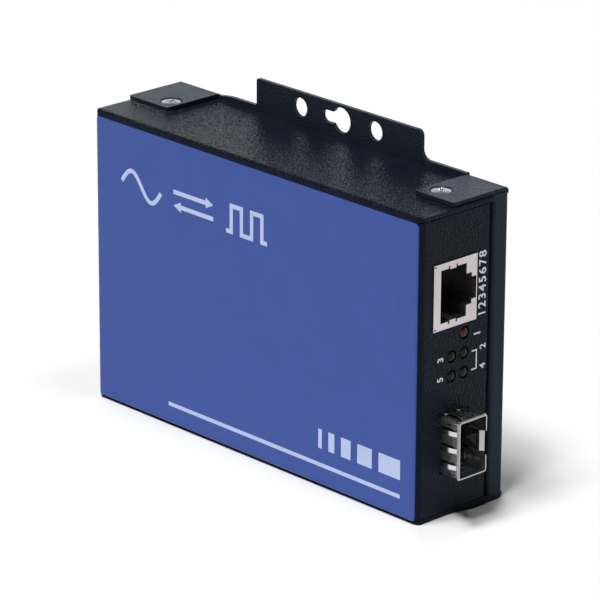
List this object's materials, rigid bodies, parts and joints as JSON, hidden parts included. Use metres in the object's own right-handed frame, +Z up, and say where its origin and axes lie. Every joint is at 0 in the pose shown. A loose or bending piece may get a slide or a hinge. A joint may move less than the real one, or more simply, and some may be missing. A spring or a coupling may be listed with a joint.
{
  "type": "fibre media converter",
  "caption": "Fibre media converter: folded steel case with a network jack, a transceiver cage, signal lamps, a rear power header, set-up switch levers and a wall flange with a keyhole.",
  "frame": {"origin": "middle of the object's box, on the surface that its lower tabs stand on", "axes": "+X towards the port end, +Y towards the wall side, -Y the label side, +Z up"},
  "size_m": [0.117, 0.0288, 0.0834],
  "materials": {
    "case_black": "black textured powder coat",
    "label_blue": "satin printed film",
    "screw_dark": "black zinc",
    "jack_plate": "satin nickel plate",
    "cage_steel": "nickel plate",
    "spring_steel": "nickel plate",
    "plastic_black": "moulded",
    "plastic_green": "moulded",
    "plastic_red": "moulded",
    "plastic_white": "moulded",
    "contact_gold": "gold flash",
    "pin_tin": "tin plate",
    "lamp_red": "clear tinted",
    "lamp_green": "clear tinted",
    "board_green": "solder mask",
    "standoff_steel": "zinc plate",
    "can_aluminium": "drawn",
    "ferrite_grey": "moulded"
  },
  "bodies": {
    "housing": {"cover_shell": "case_black", "back_plate": "case_black", "face_label": "label_blue", "cover_screws": "screw_dark", "circuit_board": "board_green", "board_standoffs": "standoff_steel", "board_screws": "standoff_steel", "rj45_shield": "jack_plate", "rj45_insert": "plastic_black", "rj45_contacts": "contact_gold", "lan_transformer": "plastic_black", "sfp_cage": "cage_steel", "sfp_collar": "spring_steel", "sfp_connector": "plastic_black", "sfp_contacts": "contact_gold", "fault_led": "lamp_red", "link_leds": "lamp_green", "led_holders": "plastic_black", "bridge_chip": "plastic_black", "memory_chip": "plastic_black", "regulator_chip": "plastic_black", "crystal_can": "pin_tin", "power_inductor": "ferrite_grey", "bulk_capacitors": "can_aluminium", "input_fuse": "plastic_white", "power_header": "plastic_green", "power_pins": "pin_tin", "dip_case": "plastic_red"},
    "dip_lever_1": {"dip_lever_1": "plastic_white"},
    "dip_lever_2": {"dip_lever_2": "plastic_white"},
    "dip_lever_3": {"dip_lever_3": "plastic_white"},
    "dip_lever_4": {"dip_lever_4": "plastic_white"}
  },
  "joints": [
    {"name": "dip_lever_1_slide", "type": "slide", "parent": "housing", "child": "dip_lever_1", "axis": [0, -1, 0], "range_m": [0, 0.0018]},
    {"name": "dip_lever_2_slide", "type": "slide", "parent": "housing", "child": "dip_lever_2", "axis": [0, -1, 0], "range_m": [0, 0.0018]},
    {"name": "dip_lever_3_slide", "type": "slide", "parent": "housing", "child": "dip_lever_3", "axis": [0, -1, 0], "range_m": [0, 0.0018]},
    {"name": "dip_lever_4_slide", "type": "slide", "parent": "housing", "child": "dip_lever_4", "axis": [0, -1, 0], "range_m": [0, 0.0018]}
  ]
}
